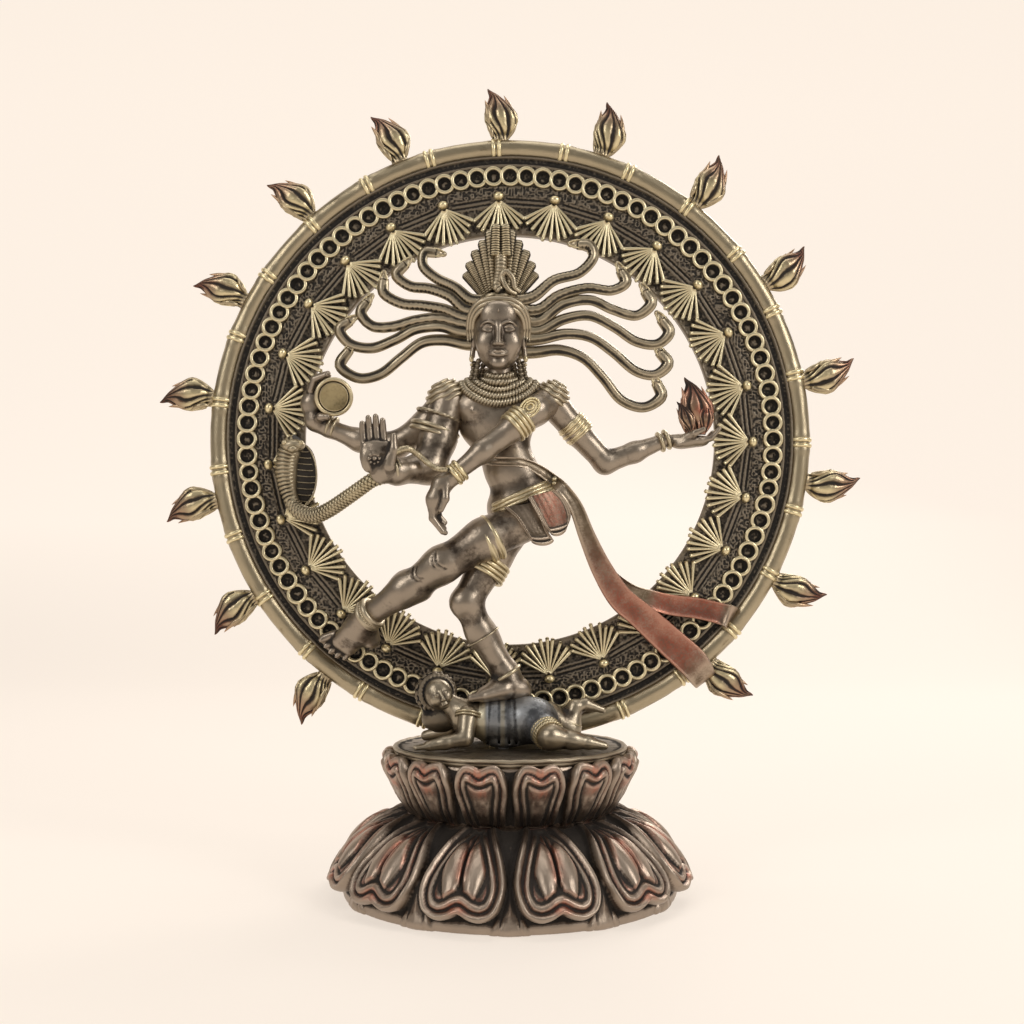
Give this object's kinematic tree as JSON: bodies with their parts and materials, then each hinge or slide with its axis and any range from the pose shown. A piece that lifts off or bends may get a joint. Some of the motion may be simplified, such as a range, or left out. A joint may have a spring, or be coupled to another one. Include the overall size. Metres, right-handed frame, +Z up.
{
  "type": "brass nataraja statue",
  "caption": "Cast bronze-finish figurine of a four-armed dancer inside a ring of flames, standing on a dwarf and a double lotus base.",
  "frame": {"origin": "centre of the felt face that the statue rests on", "axes": "+Z up, -Y towards the viewer the dancer faces, +X to that viewer's right"},
  "size_m": [0.231, 0.1112, 0.2615],
  "materials": {
    "felt": "matt felt",
    "lotus_bronze": "antiqued, dark recesses, copper-red tint in the petals",
    "plate_bronze": "antiqued, worn edge",
    "steel": "plain",
    "ring_bronze": "dark antiqued ground",
    "tube_brass": "antiqued brass, worn front",
    "bright_brass": "worn bright on the crests",
    "flame_brass": "brass with copper-red tips",
    "skin_bronze": "satin antiqued bronze",
    "hair_bronze": "antiqued bronze, worn ridges",
    "jewel_brass": "antiqued, worn crests",
    "cloth_copper": "antiqued with copper tint",
    "snake_bronze": "antiqued bronze",
    "dwarf_bronze": "satin antiqued bronze"
  },
  "bodies": {
    "root": {"anklets": "jewel_brass", "arm_snake": "snake_bronze", "armlets": "jewel_brass", "base_pad": "felt", "belt": "jewel_brass", "blessing_arm": "skin_bronze", "bracelets": "jewel_brass", "circlets": "bright_brass", "crest_cobra": "hair_bronze", "crest_fan": "hair_bronze", "drum": "jewel_brass", "drum_arm": "skin_bronze", "dwarf_arms": "dwarf_bronze", "dwarf_body": "dwarf_bronze", "dwarf_hair": "dwarf_bronze", "dwarf_head": "dwarf_bronze", "dwarf_legs": "dwarf_bronze", "fan_beads": "bright_brass", "fan_rays": "bright_brass", "figure_dowel": "steel", "flame_01": "flame_brass", "flame_02": "flame_brass", "flame_03": "flame_brass", "flame_04": "flame_brass", "flame_05": "flame_brass", "flame_06": "flame_brass", "flame_07": "flame_brass", "flame_08": "flame_brass", "flame_09": "flame_brass", "flame_10": "flame_brass", "flame_11": "flame_brass", "flame_12": "flame_brass", "flame_13": "flame_brass", "flame_14": "flame_brass", "flame_15": "flame_brass", "flame_arm": "skin_bronze", "hair_locks_left": "hair_bronze", "hair_locks_right": "hair_bronze", "head": "skin_bronze", "headband": "hair_bronze", "hold_down_bolt": "steel", "hold_down_washer": "steel", "leg_bands": "jewel_brass", "lower_lotus": "lotus_bronze", "necklace": "jewel_brass", "palm_flame": "flame_brass", "pointing_arm": "skin_bronze", "raised_leg": "skin_bronze", "rim_bands": "bright_brass", "rim_tube": "tube_brass", "ring_dowels": "steel", "ring_plate": "ring_bronze", "sash_tails": "cloth_copper", "shoulder_guards": "jewel_brass", "skirt_flaps": "cloth_copper", "standing_leg": "skin_bronze", "top_plate": "plate_bronze", "torso": "skin_bronze", "upper_lotus": "lotus_bronze", "waist_sash": "cloth_copper"}
  },
  "joints": []
}
